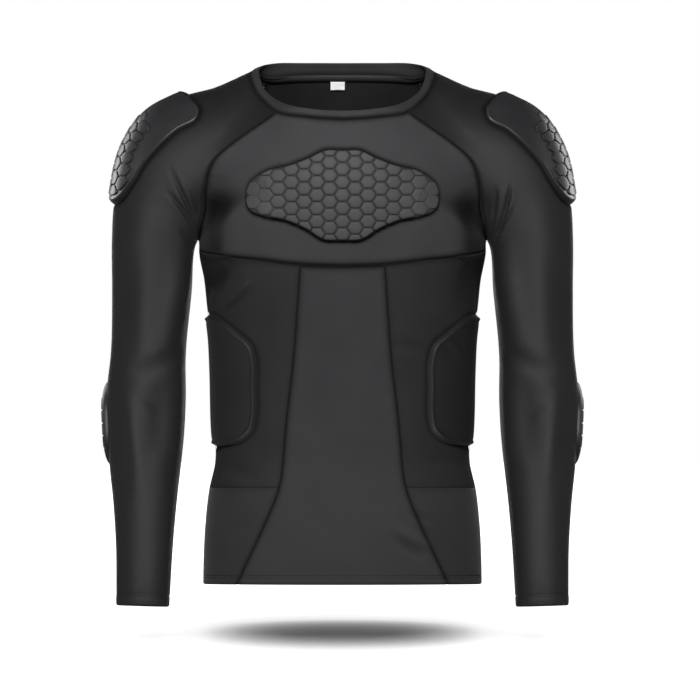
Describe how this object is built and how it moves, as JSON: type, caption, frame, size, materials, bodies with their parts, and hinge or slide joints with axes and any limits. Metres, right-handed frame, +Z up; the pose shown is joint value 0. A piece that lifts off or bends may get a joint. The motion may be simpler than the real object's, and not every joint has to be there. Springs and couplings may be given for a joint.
{
  "type": "padded armour compression shirt",
  "caption": "Long-sleeved pullover compression shirt in its worn form, empty, with hexagon-cell pads on chest, shoulders and elbows and smooth pads on the ribs.",
  "frame": {"origin": "between the wearer's shoulders, on the symmetry plane, at the height of the shoulder line", "axes": "+Z up, -Y to the front, +X to the viewer's right as seen from the front"},
  "size_m": [0.604, 0.2417, 0.6795],
  "materials": {
    "chest_knit": "satin stretch knit, charcoal",
    "centre_knit": "satin stretch knit, dark charcoal",
    "side_knit": "satin stretch knit, near black",
    "back_knit": "satin stretch knit, near black",
    "sleeve_knit": "satin stretch knit, near black",
    "neckband_knit": "doubled stretch knit, charcoal",
    "label_cloth": "white woven tape, bare",
    "chest_cells": "knit bonded over moulded foam cells, charcoal",
    "arm_cells": "moulded foam cells with a glossy face, black",
    "rib_cover": "smooth knit over foam, black"
  },
  "bodies": {
    "root": {"front_chest": "chest_knit", "front_centre": "centre_knit", "side_upper_L": "side_knit", "side_upper_R": "side_knit", "side_lower_L": "side_knit", "side_lower_R": "side_knit", "back": "back_knit", "sleeve_L": "sleeve_knit", "sleeve_R": "sleeve_knit", "neckband": "neckband_knit", "neck_label": "label_cloth", "chest_pad": "chest_cells", "shoulder_pad_L": "arm_cells", "shoulder_pad_R": "arm_cells", "elbow_pad_L": "arm_cells", "elbow_pad_R": "arm_cells", "rib_pad_L": "rib_cover", "rib_pad_R": "rib_cover"}
  },
  "joints": []
}
